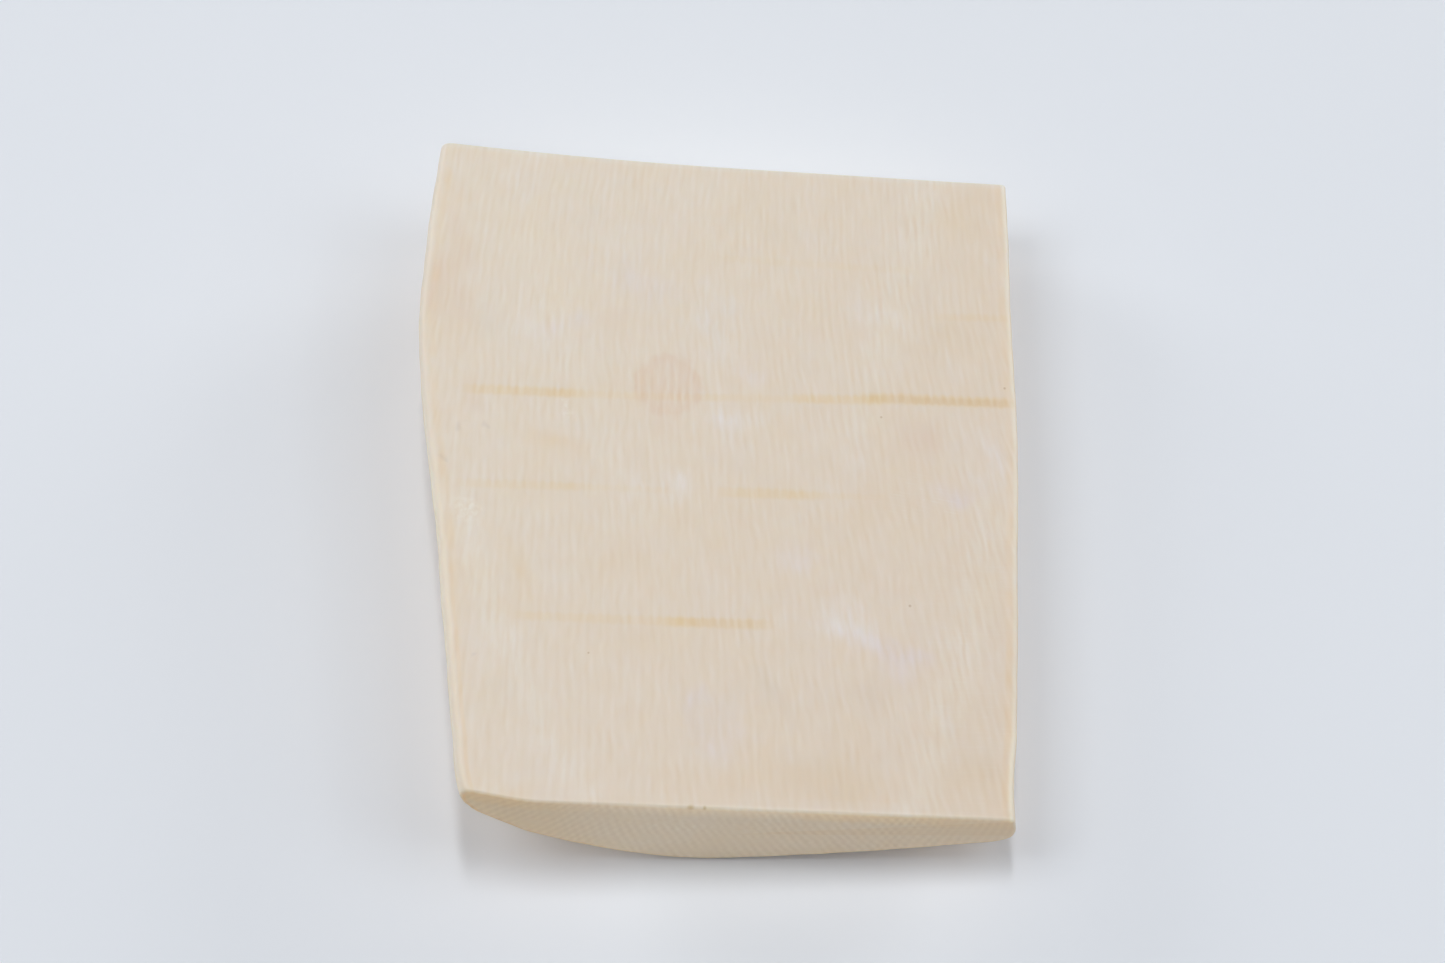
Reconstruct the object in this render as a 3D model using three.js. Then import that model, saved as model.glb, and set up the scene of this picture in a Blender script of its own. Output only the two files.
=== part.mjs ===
// Mammoth ivory segment: a piece sawn lengthwise from a tusk. The upper face is one flat
// saw cut, the two ends are sawn square to it, and the back is the tusk's own rounded
// outside. All arrises are eased. The piece is a single solid and lies on its back.

import * as THREE from 'three';
import { mergeVertices } from 'three/addons/utils/BufferGeometryUtils.js';

// Driving dimensions in millimetres. In the piece's own frame x runs across the sawn
// face, y along the tusk towards the rear, and z up, with z = 0 on the sawn face.
const LENGTH = 112.2;
const THICKNESS = 21.2;
const DEEPEST_X = -1.7;
const ROLL_DEGREES = 6;

// Each side of the sawn face is two nearly straight runs that meet in a soft bend.
const LEFT_SIDE = { bendX: -48, bendY: 21.5, frontSlope: -0.12, rearSlope: 0.075, soft: 5 };
const RIGHT_SIDE = { bendX: 46.6, bendY: 0.8, frontSlope: 0.04, rearSlope: 0, soft: 6 };

// The rear cut wanders: left of its start it runs back in a shallow curve.
const RUNOUT = 1.9;
const RUNOUT_START_X = 10;
const RUNOUT_END_X = -45;

// Eased arrises, as the distance each one takes off the faces beside it.
const END_EASE = 0.5;
const LEFT_ARRIS = 2;
const RIGHT_ARRIS = 1.0;
const SMALLEST_ARRIS = 0.3;

// Sides: the left one is widest at this depth, the right one is a narrow upright band.
const LEFT_WIDEST = 2;
const RIGHT_LEAN = 0.2;
const RIGHT_BAND = 6.4;
const RIGHT_CORNER = 3.2;

// Reach of the back's curves from the deepest line and from the two sides.
const BACK_REACH = 13;
const LEFT_REACH = 6;
const RIGHT_REACH = 7;
const RIGHT_FLANK_SLOPE = 0.28;

// The line it lies on is worn flat by this depth, level with the table.
const REST_WEAR = 0.15;

// Fineness of the faceted surface.
const ARRIS_STEPS = 4;
const TOP_STEPS = 12;
const LEFT_BACK_STEPS = 12;
const RIGHT_BACK_STEPS = 14;
const EASE_STEPS = 3;
const STATION_COUNT = 25;

// An end face is drawn in from its rim to one point, in these shares of its size.
const END_RINGS = [0.5, 0];

const IVORY = { color: 0xdccfbe, roughness: 0.45, metalness: 0 };

const ROLL = THREE.MathUtils.degToRad(ROLL_DEGREES);
const point = (x, z) => new THREE.Vector2(x, z);
const END_HUB = point(0, -THICKNESS / 2);

// Where a side stands at a length y: a hyperbola between its two slopes.
function sideAt(side, y) {
  const run = y - side.bendY;
  const meanSlope = (side.rearSlope + side.frontSlope) / 2;
  const turn = (side.rearSlope - side.frontSlope) / 2;
  return side.bendX + meanSlope * run + turn * (Math.hypot(run, side.soft) - side.soft);
}

// The left arris, the flat face and the right arris, from the left's widest line on.
function upperCurves(left, right, inset) {
  const top = -inset;
  const leftArris = Math.max(LEFT_ARRIS - inset, SMALLEST_ARRIS);
  const rightArris = Math.max(RIGHT_ARRIS - inset, SMALLEST_ARRIS);
  const widest = point(left, -LEFT_WIDEST);
  const topStart = point(left + leftArris, top);
  const topEnd = point(right - rightArris, top);
  const rightDown = point(right, top - rightArris);
  const bandEnd = point(right + RIGHT_LEAN, -RIGHT_BAND);
  return [
    [new THREE.QuadraticBezierCurve(widest, point(left, top), topStart), ARRIS_STEPS],
    [new THREE.LineCurve(topStart, topEnd), TOP_STEPS],
    [new THREE.QuadraticBezierCurve(topEnd, point(right, top), rightDown), ARRIS_STEPS],
    [new THREE.LineCurve(rightDown, bandEnd), 1],
  ];
}

// The right corner and the round back, from the right band round to the left side.
function backCurves(left, right, inset) {
  const depth = THICKNESS - inset;
  const bandEnd = point(right + RIGHT_LEAN, -RIGHT_BAND);
  const flankStart = point(right - RIGHT_CORNER, -RIGHT_BAND - RIGHT_CORNER + inset);
  const flankReach = point(
    flankStart.x - RIGHT_REACH, flankStart.y - RIGHT_REACH * RIGHT_FLANK_SLOPE);
  const cornerDrop = (right + RIGHT_LEAN - flankStart.x) * RIGHT_FLANK_SLOPE;
  const corner = point(bandEnd.x, Math.min(flankStart.y + cornerDrop, bandEnd.y));
  const deepest = point(DEEPEST_X, -depth);
  const widest = point(left, -LEFT_WIDEST);
  return [
    [new THREE.QuadraticBezierCurve(bandEnd, corner, flankStart), ARRIS_STEPS],
    [new THREE.CubicBezierCurve(
      flankStart, flankReach, point(DEEPEST_X + BACK_REACH, -depth), deepest), RIGHT_BACK_STEPS],
    [new THREE.CubicBezierCurve(
      deepest, point(DEEPEST_X - BACK_REACH, -depth),
      point(left, -LEFT_WIDEST - LEFT_REACH), widest), LEFT_BACK_STEPS],
  ];
}

// One closed cross-section, drawn in by the inset where an end is eased.
function crossSection(y, inset) {
  const left = sideAt(LEFT_SIDE, y) + inset;
  const right = sideAt(RIGHT_SIDE, y) - inset;
  const curves = [...upperCurves(left, right, inset), ...backCurves(left, right, inset)];
  return curves.flatMap(([curve, steps]) => curve.getPoints(steps).slice(0, -1));
}

// Height of a section point above the table's direction once the piece is rolled.
const rolledHeight = (p) => p.y * Math.cos(ROLL) - p.x * Math.sin(ROLL);
const REST_LEVEL = Math.min(...crossSection(0, 0).map(rolledHeight)) + REST_WEAR;

// Wear lifts whatever lies below the rest level up to it.
function worn(p) {
  if (rolledHeight(p) >= REST_LEVEL) return p;
  return point(p.x, (REST_LEVEL + p.x * Math.sin(ROLL)) / Math.cos(ROLL));
}

// How far the rear cut runs out behind its square line at x: a parabola to the left.
function runoutAt(x) {
  const share = Math.max(0, (RUNOUT_START_X - x) / (RUNOUT_START_X - RUNOUT_END_X));
  return RUNOUT * share * share;
}

// Lengths and insets of the sections: a quarter circle at each end, even steps between.
function stations() {
  const half = LENGTH / 2;
  const ease = [];
  for (let i = 0; i < EASE_STEPS; i += 1) {
    const angle = (Math.PI / 2) * (i / EASE_STEPS);
    const inset = END_EASE * (1 - Math.sin(angle));
    ease.push({ y: half - END_EASE * (1 - Math.cos(angle)), inset });
  }
  const middle = [];
  for (let i = 0; i < STATION_COUNT; i += 1) {
    const share = i / (STATION_COUNT - 1);
    middle.push({ y: (half - END_EASE) * (2 * share - 1), inset: 0 });
  }
  const endFace = END_RINGS.map((shrink) => ({ y: half, inset: END_EASE, shrink }));
  const rear = [...ease.reverse(), ...endFace];
  const front = rear.map(({ y, ...rest }) => ({ y: -y, ...rest })).reverse();
  return [...front, ...middle, ...rear];
}

// A section's points in space: the rear cut's run-out fades to nothing at the front.
function placeSection({ y, inset, shrink = 1 }) {
  const fade = y / LENGTH + 0.5;
  return crossSection(y, inset).map(worn).map((p) => {
    const x = END_HUB.x + (p.x - END_HUB.x) * shrink;
    const z = END_HUB.y + (p.y - END_HUB.y) * shrink;
    return new THREE.Vector3(x, y + runoutAt(x) * fade, z);
  });
}

// Skin over the rings; the first and last ring are each one point, so no face is left
// there but the triangles that meet at it.
function loft(rings) {
  const count = rings[0].length;
  const lastRow = rings.length - 2;
  const faces = [];
  for (let row = 0; row <= lastRow; row += 1) {
    for (let i = 0; i < count; i += 1) {
      const next = (i + 1) % count;
      const [a, b] = [row * count + i, row * count + next];
      const [c, d] = [b + count, a + count];
      if (row > 0) faces.push(a, b, c);
      if (row < lastRow) faces.push(a, c, d);
    }
  }
  const geometry = new THREE.BufferGeometry().setFromPoints(rings.flat());
  geometry.setIndex(faces);
  return mergeVertices(geometry);
}

// The piece lies on its back, rolled to where it balances, centred over the origin.
function layDown(mesh) {
  mesh.rotation.y = ROLL;
  const box = new THREE.Box3().setFromObject(mesh, true);
  const middle = box.getCenter(new THREE.Vector3());
  mesh.position.set(-middle.x, -middle.y, -box.min.z);
}

const geometry = loft(stations().map(placeSection));
geometry.computeVertexNormals();
const ivory = new THREE.Mesh(geometry, new THREE.MeshStandardMaterial(IVORY));
ivory.name = 'ivory_segment';
layDown(ivory);

const segment = new THREE.Group();
segment.add(ivory);

export default segment;
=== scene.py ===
# %% [markdown]
# # A segment of mammoth ivory
# A slab has been sawn lengthwise from a tusk and laid on its round back. Its upper face
# and its two ends are saw cuts, sanded smooth; the back is the tusk's own outside. Ivory
# is a plain material from far away and a busy one from close by: fine wavy grain along
# the tusk, crossing lines on the ends, faint growth bands and yellow stains.
# The lesson builds one closed surface with numpy and one material that runs all over it.

# %% Load the frame
import math

import bpy
import numpy as np
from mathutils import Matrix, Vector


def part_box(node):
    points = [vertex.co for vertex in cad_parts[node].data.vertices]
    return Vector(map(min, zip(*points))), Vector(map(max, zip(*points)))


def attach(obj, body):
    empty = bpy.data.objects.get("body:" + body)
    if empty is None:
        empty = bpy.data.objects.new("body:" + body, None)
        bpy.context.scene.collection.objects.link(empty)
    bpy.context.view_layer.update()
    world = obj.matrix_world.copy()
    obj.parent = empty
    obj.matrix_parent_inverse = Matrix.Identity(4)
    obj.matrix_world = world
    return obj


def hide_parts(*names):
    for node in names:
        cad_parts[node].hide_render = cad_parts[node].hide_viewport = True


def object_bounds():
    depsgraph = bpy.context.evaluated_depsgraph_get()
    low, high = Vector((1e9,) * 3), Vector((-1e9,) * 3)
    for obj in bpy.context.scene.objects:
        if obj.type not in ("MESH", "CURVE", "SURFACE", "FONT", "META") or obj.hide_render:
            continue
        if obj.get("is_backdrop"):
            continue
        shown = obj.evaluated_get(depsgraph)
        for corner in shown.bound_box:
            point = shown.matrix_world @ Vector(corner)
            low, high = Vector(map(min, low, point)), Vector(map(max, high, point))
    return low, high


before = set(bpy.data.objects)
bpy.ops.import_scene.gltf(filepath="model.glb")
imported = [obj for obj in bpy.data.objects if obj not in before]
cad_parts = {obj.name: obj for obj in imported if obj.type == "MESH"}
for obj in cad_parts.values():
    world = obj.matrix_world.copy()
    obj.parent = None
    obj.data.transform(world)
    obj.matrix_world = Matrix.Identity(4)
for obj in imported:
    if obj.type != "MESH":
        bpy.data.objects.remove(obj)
cad_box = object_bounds()
NODE = "ivory_segment"
MM = 0.001
print("the solid's box in mm:", [[round(c / MM, 1) for c in corner] for corner in cad_box])

# %% [markdown]
# ## The driving dimensions
# The piece has its own frame: x across the sawn face, y along the tusk towards the rear,
# z up from the sawn face, all in millimetres. Each side of the face is two nearly
# straight runs that meet in a soft bend, so a side is one short formula and not a list
# of points. The same few values shape the plain solid, and the finer surface repeats
# them; only the left arris is sharper here in front, where less of it was rubbed off.

# %% Sizes of the slab
LENGTH = 112.2
THICKNESS = 21.2
DEEPEST_X = -1.7
ROLL = math.radians(6)
LEFT_SIDE = dict(bend_x=-48, bend_y=21.5, front_slope=-0.12, rear_slope=0.075, soft=5)
RIGHT_SIDE = dict(bend_x=46.6, bend_y=0.8, front_slope=0.04, rear_slope=0, soft=6)
RUNOUT, RUNOUT_START_X, RUNOUT_END_X = 1.9, 10, -45
END_EASE, LEFT_ARRIS, RIGHT_ARRIS, SMALLEST_ARRIS = 0.5, 2.0, 1.0, 0.3
SHARPER_IN_FRONT, SHARPER_FROM_Y, SHARPER_OVER = 0.6, 20, 25
LEFT_WIDEST, RIGHT_LEAN, RIGHT_BAND, RIGHT_CORNER = 2.0, 0.2, 6.4, 3.2
BACK_REACH, LEFT_REACH, RIGHT_REACH, RIGHT_FLANK_SLOPE = 13, 6, 7, 0.28
REST_WEAR = 0.15


def side_at(y, bend_x, bend_y, front_slope, rear_slope, soft):
    """x of a side: bend_x + mean slope * run + half the turn * (sqrt(run^2 + soft^2) - soft)."""
    run = y - bend_y
    mean, turn = (rear_slope + front_slope) / 2, (rear_slope - front_slope) / 2
    return bend_x + mean * run + turn * (np.hypot(run, soft) - soft)


def runout_at(x):
    """How far the rear cut runs out behind square: RUNOUT * share^2, share 0 to 1 leftwards."""
    share = np.maximum(0, (RUNOUT_START_X - x) / (RUNOUT_START_X - RUNOUT_END_X))
    return RUNOUT * share**2


front_width = side_at(-LENGTH / 2, **RIGHT_SIDE) - side_at(-LENGTH / 2, **LEFT_SIDE)
print("width at the front, mm:", round(float(front_width), 1))

# %% [markdown]
# ## Small unevenness
# Nobody sands a natural edge dead straight. A few sine waves of unlike lengths, added
# up, wander without repeating within the piece. They cost one line, work on whole
# arrays and give the same edge on every run, which drawn random numbers would not
# do as plainly. A few soft humps and hollows bring each side to its own real line.

# %% Waves and humps
LEFT_HUMPS = [(-58, 2.5, 0.8), (-51.5, 3, -0.2), (-45, 6, -0.12), (-12, 13, 0.3),
              (3, 7, -0.15), (38, 9, -0.22), (60, 6, 0.25)]
RIGHT_HUMPS = [(-50, 6, -0.55), (11, 8, 0.3)]


def waves(t, *parts):
    """Sum of height * sin(2 pi t / length + shift) over the parts (height, length, shift)."""
    return sum(height * np.sin(2 * np.pi * t / length + shift) for height, length, shift in parts)


def hump(t, middle, width, height):
    """A bell: height * exp(-((t - middle) / width)^2)."""
    return height * np.exp(-(((t - middle) / width) ** 2))


def left_line(y):
    """The left side: its two runs, its humps and a fine waver, added up."""
    humps = sum(hump(y, *one) for one in LEFT_HUMPS)
    return side_at(y, **LEFT_SIDE) + humps + waves(y, (0.05, 17, 1), (0.03, 6.1, 0))


def right_line(y):
    """The right side: its two runs, its humps and a fine waver, added up."""
    humps = sum(hump(y, *one) for one in RIGHT_HUMPS)
    return side_at(y, **RIGHT_SIDE) + humps + waves(y, (0.05, 23, 2), (0.02, 7.3, 1))


print("hollow of the left side, mm:", round(float(left_line(-12) - side_at(-12, **LEFT_SIDE)), 2))

# %% [markdown]
# ## The cross-section
# Sawn across, the slab shows a flat top and a round back. A lathe can't make it, because
# it isn't round, and a box with bevels would lose the back. A closed outline of lines and
# Bezier curves is the natural drawing of it, and one call can work it out for every place
# along the tusk at once: a curve's control points are arrays with one row per section.

# %% The outline as lines and curves
def bezier(points, steps):
    """A Bezier curve by its Bernstein sum: sum of C(n, k) (1-t)^(n-k) t^k P_k, t from 0 to 1."""
    t = (np.arange(steps) / steps)[None, :, None]
    n = len(points) - 1
    return sum(math.comb(n, k) * (1 - t) ** (n - k) * t**k * p for k, p in enumerate(points))


ARRIS_STEPS, TOP_STEPS, BAND_STEPS, BACK_STEPS = 9, 110, 8, 60
NATURAL = 2 * ARRIS_STEPS + TOP_STEPS + BAND_STEPS


def outlines(y, inset):
    """One closed outline for each y, drawn in by its inset: sections x points x (x, z).

    The left arris narrows by SHARPER_IN_FRONT over the 25 mm in front of y = 20.
    """
    left, right = left_line(y) + inset, right_line(y) - inset
    top, depth = -inset, inset - THICKNESS

    def at(x, z):
        return np.stack([x + 0 * y, z + 0 * y], axis=-1)[:, None, :]

    sharper = SHARPER_IN_FRONT * np.clip((SHARPER_FROM_Y - y) / SHARPER_OVER, 0, 1)
    left_arris = np.maximum(LEFT_ARRIS - sharper - inset, SMALLEST_ARRIS)
    right_arris = np.maximum(RIGHT_ARRIS - inset, SMALLEST_ARRIS)
    widest, deepest = at(left, -LEFT_WIDEST), at(DEEPEST_X, depth)
    top_start, top_end = at(left + left_arris, top), at(right - right_arris, top)
    right_down, band_end = at(right, top - right_arris), at(right + RIGHT_LEAN, -RIGHT_BAND)
    flank_x, flank_z = right - RIGHT_CORNER, inset - RIGHT_BAND - RIGHT_CORNER
    flank_reach = at(flank_x - RIGHT_REACH, flank_z - RIGHT_REACH * RIGHT_FLANK_SLOPE)
    corner_z = flank_z + (RIGHT_CORNER + RIGHT_LEAN) * RIGHT_FLANK_SLOPE
    corner = at(right + RIGHT_LEAN, np.minimum(corner_z, -RIGHT_BAND))
    right_reach, left_reach = at(DEEPEST_X + BACK_REACH, depth), at(DEEPEST_X - BACK_REACH, depth)
    return np.concatenate([
        bezier([widest, at(left, top), top_start], ARRIS_STEPS),
        bezier([top_start, top_end], TOP_STEPS),
        bezier([top_end, at(right, top), right_down], ARRIS_STEPS),
        bezier([right_down, band_end], BAND_STEPS),
        bezier([band_end, corner, at(flank_x, flank_z)], ARRIS_STEPS),
        bezier([at(flank_x, flank_z), flank_reach, right_reach, deepest], BACK_STEPS),
        bezier([deepest, left_reach, at(left, -LEFT_WIDEST - LEFT_REACH), widest], BACK_STEPS),
    ], axis=1)


print("points round one outline:", outlines(np.zeros(1), np.zeros(1)).shape[1])

# %% [markdown]
# ## Rows along the tusk
# The outline is set down about every half millimetre along the tusk. At each end the
# rows follow a quarter circle, so the end's edge is eased, and then shrink towards one
# point in the middle of the cut, which closes the end. Extruding and bevelling would
# need the same numbers and leave less say over where the rows fall.

# %% Stations, eased ends and shrinking rings
STATION_COUNT = 200
EASE_STEPS = 8
END_SHARES = np.array([0.995, 0.97, 0.93, 0.86, 0.75, 0.6, 0.4, 0.2])
HUB = np.array([0, -THICKNESS / 2])
HALF = LENGTH / 2

angle = np.linspace(np.pi / 2, 0, EASE_STEPS + 1)[1:]
ease_y = HALF - END_EASE * (1 - np.cos(angle))
ease_inset = END_EASE * (1 - np.sin(angle))
rear_y = np.concatenate([ease_y, np.full(END_SHARES.size, HALF)])
rear_inset = np.concatenate([ease_inset, np.full(END_SHARES.size, END_EASE)])
rear_share = np.concatenate([np.ones(EASE_STEPS), END_SHARES])
middle_y = np.linspace(END_EASE - HALF, HALF - END_EASE, STATION_COUNT)

row_y = np.concatenate([-rear_y[::-1], middle_y, rear_y])
row_inset = np.concatenate([rear_inset[::-1], 0 * middle_y, rear_inset])
row_share = np.concatenate([rear_share[::-1], 1 + 0 * middle_y, rear_share])
print("rows:", row_y.size)

# %% [markdown]
# ## Relief of the natural back
# The outside of a tusk is never smooth: shallow flutes run along it, low rings cross it,
# and the whole swells a little. This relief is real geometry, because it shows in
# the outline of the lower edge and in raking light. It is a function of two parameters,
# the way round the back and the way along it, and moves points along the outline's normal.

# %% Flutes, rings and swelling
def way_round(section):
    """Arc length round each outline: the running sum of the steps between its points."""
    steps = np.linalg.norm(np.roll(section, -1, axis=1) - section, axis=2)
    return np.cumsum(steps, axis=1) - steps


def outward(section):
    """Unit normals in the section's plane: each tangent turned a quarter turn outwards."""
    tangent = np.roll(section, -1, axis=1) - np.roll(section, 1, axis=1)
    normal = np.stack([-tangent[..., 1], tangent[..., 0]], axis=-1)
    return normal / np.linalg.norm(normal, axis=2, keepdims=True)


def smoothstep(t):
    """3 t^2 - 2 t^3, with t held between 0 and 1."""
    t = np.clip(t, 0, 1)
    return t * t * (3 - 2 * t)


def back_relief(round_mm, along_mm):
    """Flutes along the tusk that drift sideways, rings across it and one slow swelling."""
    drift = waves(along_mm, (0.9, 71, 0.4), (0.4, 29, 2))
    flutes = waves(round_mm + drift, (0.05, 7.9, 0), (0.035, 4.3, 1), (0.02, 2.1, 2))
    rings = waves(along_mm + waves(round_mm, (0.8, 31, 1)), (0.03, 9.7, 0), (0.015, 3.7, 1))
    swelling = waves(along_mm, (0.07, 47, 1)) * waves(round_mm, (1, 39, 2))
    return flutes + rings + swelling


FADE = 4.0
sections = outlines(row_y, row_inset)
round_mm = way_round(sections)
from_ends = np.minimum(round_mm - round_mm[:, NATURAL, None], round_mm[:, -1:] - round_mm)
relief = smoothstep(from_ends / FADE) * back_relief(round_mm, row_y[:, None])
uneven = sections + outward(sections) * relief[..., None]
print("relief of the back, mm:", round(float(relief.min()), 2), "to", round(float(relief.max()), 2))

# %% [markdown]
# ## The line it lies on
# The piece lies rolled by six degrees, where it balances. The lowest line of its back is
# worn flat, level with the table: whatever would reach below that level is lifted to it.
# Then the rows are drawn in to the hub, and the rear cut gets its shallow run-out, which
# fades to nothing at the front. The saw left that cut a hair short on the right.

# %% Wear, rings and run-out
REAR_TRIM, REAR_TILT = 0.2, 0.25


def rolled_height(x, z):
    """Height of a point once the piece is rolled: z cos(roll) - x sin(roll)."""
    return z * math.cos(ROLL) - x * math.sin(ROLL)


middle_section = outlines(np.zeros(1), np.zeros(1))
rest_level = rolled_height(middle_section[..., 0], middle_section[..., 1]).min() + REST_WEAR
x, z = uneven[..., 0], uneven[..., 1]
table_z = (rest_level + x * math.sin(ROLL)) / math.cos(ROLL)
z = np.where(rolled_height(x, z) < rest_level, table_z, z)
x = HUB[0] + (x - HUB[0]) * row_share[:, None]
z = HUB[1] + (z - HUB[1]) * row_share[:, None]
fade = row_y[:, None] / LENGTH + 0.5
rear_cut = HALF + runout_at(x) - REAR_TRIM - REAR_TILT * smoothstep(x / 45)
y = row_y[:, None] + (rear_cut - HALF) * fade
print("rear cut, mm behind the middle:", rear_cut.min().round(1), "to", rear_cut.max().round(1))

# %% [markdown]
# ## Rubbed corners
# A hand-held saw and years of handling leave no corner true. The front left corner is set
# back, the front right one is chipped at its top, both are fuller lower down, and the
# lower edge of the front cut lifts a little right of its middle. Sculpting could do it,
# but each is also one smooth push on the finished grid: a height times soft fades.

# %% Soft pushes near the front
SET_BACK, CHIP, FRONT_LIFT = 1.5, 0.5, 1.0
LEFT_FULLNESS, RIGHT_FULLNESS = 0.9, 0.6
ahead = -row_y[:, None]

y = y + SET_BACK * smoothstep((-27 - x) / 14) * (1 - fade)
lower_part = smoothstep((-z - 6) / 8)
z = z + FRONT_LIFT * smoothstep((ahead - 20) / (HALF - 20)) * lower_part * hump(x, 9, 15, 1)
z = z - CHIP * smoothstep((ahead - 50) / 6) * smoothstep((x - 43) / 1.6) * smoothstep((z + 3) / 3)
left_corner = smoothstep((ahead - 46) / 9) * smoothstep((-25 - x) / 10) * hump(z, -6.5, 2.8, 1)
right_corner = smoothstep((ahead - 51) / 4) * smoothstep((x - 30) / 10) * hump(z, -5, 2.5, 1)
x = x - LEFT_FULLNESS * left_corner + RIGHT_FULLNESS * right_corner
points = np.stack([x, y, z], axis=-1)
print("grid of points:", points.shape[:2])

# %% [markdown]
# ## The closed mesh
# The grid is skinned with quads, row to row and round each row, and each end gets a fan
# of triangles to one pole, so the surface has no opening. The piece is rolled and set
# down where the solid lies, and its place is in its mesh: the object stays at the origin.

# %% Points and faces into one mesh
def lay_down(p):
    """Roll about y: x cos + z sin, y, z cos - x sin."""
    c, s = math.cos(ROLL), math.sin(ROLL)
    return np.stack([p[..., 0] * c + p[..., 2] * s, p[..., 1], p[..., 2] * c - p[..., 0] * s], axis=-1)


rows, columns = points.shape[:2]
hub_x, hub_z = HUB
poles = np.array([[hub_x, -HALF, hub_z], [hub_x, HALF + runout_at(hub_x) - REAR_TRIM, hub_z]])
piece_mm = np.concatenate([points.reshape(-1, 3), poles])
laid = lay_down(piece_mm)
low, high = np.array(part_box(NODE)) / MM
shift = (low + high) / 2 - (laid.min(axis=0) + laid.max(axis=0)) / 2
shift[2] = low[2] - laid[:, 2].min()

index = np.arange(rows * columns).reshape(rows, columns)
here, beside = index, np.roll(index, -1, axis=1)
quads = np.stack([here[:-1], here[1:], beside[1:], beside[:-1]], axis=-1).reshape(-1, 4)
front_pole, rear_pole = rows * columns, rows * columns + 1
front_fan = np.stack([np.full(columns, front_pole), here[0], beside[0]], axis=-1)
rear_fan = np.stack([np.full(columns, rear_pole), beside[-1], here[-1]], axis=-1)

mesh = bpy.data.meshes.new("ivory_slab")
mesh.from_pydata((laid + shift) * MM, [], quads.tolist() + front_fan.tolist() + rear_fan.tolist())
mesh.shade_smooth()
slab = bpy.data.objects.new("ivory_slab", mesh)
bpy.context.collection.objects.link(slab)
print("triangles:", 2 * len(quads) + 2 * columns)

# %% [markdown]
# ## What each point knows
# Edges of ivory look unlike its middle: the outer layer is yellow, thin edges glow and
# cuts darken at their rim. The material could guess such places from its coordinates,
# but the mesh knows them exactly. So each point carries three attributes in millimetres
# or shares: how deep it lies under the natural surface, how far it is from three rims,
# and which of the faces it belongs to.

# %% Depth, distances and faces as attributes
def depth_under(section, line):
    """Distance from each point to the nearest segment of a line: |p - a - t (b - a)|, t in 0..1."""
    a, b = line[None, :-1], line[None, 1:]
    p, run = section[:, None], b - a
    t = np.clip(((p - a) * run).sum(axis=2) / (run**2).sum(axis=2), 0, 1)
    return np.linalg.norm(p - a - t[..., None] * run, axis=2).min(axis=1)


def natural_lines(y):
    """The natural outside of each section: the back's points and the outline's first one."""
    whole = outlines(y, 0 * y)
    return np.concatenate([whole[:, NATURAL:], whole[:, :1]], axis=1)


drawn_in = HUB + (sections - HUB) * row_share[:, None, None]
skin = np.stack([depth_under(s, line) for s, line in zip(drawn_in, natural_lines(row_y))])
skin[:, NATURAL:] = np.where((row_inset == 0)[:, None], 0, skin[:, NATURAL:])
rim_left = x - left_line(row_y)[:, None]
rim_right = right_line(row_y)[:, None] - x
rim_rear = rear_cut - y

arris_rise = np.arange(ARRIS_STEPS) / ARRIS_STEPS
top_share = np.concatenate([arris_rise, np.ones(TOP_STEPS), 1 - arris_rise, np.zeros(columns)])[:columns]
band_share = np.zeros(columns)
band_share[NATURAL - BAND_STEPS - ARRIS_STEPS // 2:NATURAL] = 1
end_share = np.repeat(row_inset[:, None] / END_EASE, columns, axis=1)
faces = np.stack([top_share + 0 * end_share, end_share, band_share + 0 * end_share], axis=-1)


def keep(name, kind, field, values, pole_values):
    """Store one value, or three, for each point; the poles come last."""
    attribute = mesh.attributes.new(name, kind, "POINT")
    whole = np.concatenate([values.ravel(), np.ravel(pole_values)])
    attribute.data.foreach_set(field, whole.astype(np.float32))


keep("skin", "FLOAT", "value", skin, [THICKNESS / 2] * 2)
keep("rim", "FLOAT_VECTOR", "vector", np.stack([rim_left, rim_right, rim_rear], axis=-1),
     [[45, 45, LENGTH], [45, 45, 0]])
keep("faces", "FLOAT_VECTOR", "vector", faces, [[0, 1, 0]] * 2)
print("deepest point under the natural surface, mm:", round(float(skin.max()), 1))

# %% [markdown]
# ## Formulas as nodes
# A procedural material is arithmetic on coordinates. Wired by hand, a formula such as
# sin(x + 2 y) is four nodes and four links, and the idea drowns in them. Here a shader
# value is wrapped so that the signs + - * / add the nodes themselves, and a
# formula in the material reads like one on paper.

# %% Words for building the material
ivory = bpy.data.materials.new("ivory")
ivory.use_nodes = True
nodes, links = ivory.node_tree.nodes, ivory.node_tree.links


def feed(socket, value):
    """Link a term into a socket, or set a plain number or colour on it."""
    if isinstance(value, Term):
        links.new(value.socket, socket)
    else:
        socket.default_value = value


def calculate(operation, *values):
    """One Math node."""
    node = nodes.new("ShaderNodeMath")
    node.operation = operation
    for socket, value in zip(node.inputs, values):
        feed(socket, value)
    return Term(node.outputs[0])


class Term:
    """A value in the shader; each sign in a formula with it adds one Math node."""

    def __init__(self, socket):
        self.socket = socket

    def __add__(self, other):
        return calculate("ADD", self, other)

    def __radd__(self, other):
        return calculate("ADD", other, self)

    def __sub__(self, other):
        return calculate("SUBTRACT", self, other)

    def __rsub__(self, other):
        return calculate("SUBTRACT", other, self)

    def __mul__(self, other):
        return calculate("MULTIPLY", self, other)

    def __rmul__(self, other):
        return calculate("MULTIPLY", other, self)

    def __truediv__(self, other):
        return calculate("DIVIDE", self, other)

    def __abs__(self):
        return calculate("ABSOLUTE", self)


def sine(value):
    """sin(value)."""
    return calculate("SINE", value)


def largest(a, b):
    """The larger of two values."""
    return calculate("MAXIMUM", a, b)


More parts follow.
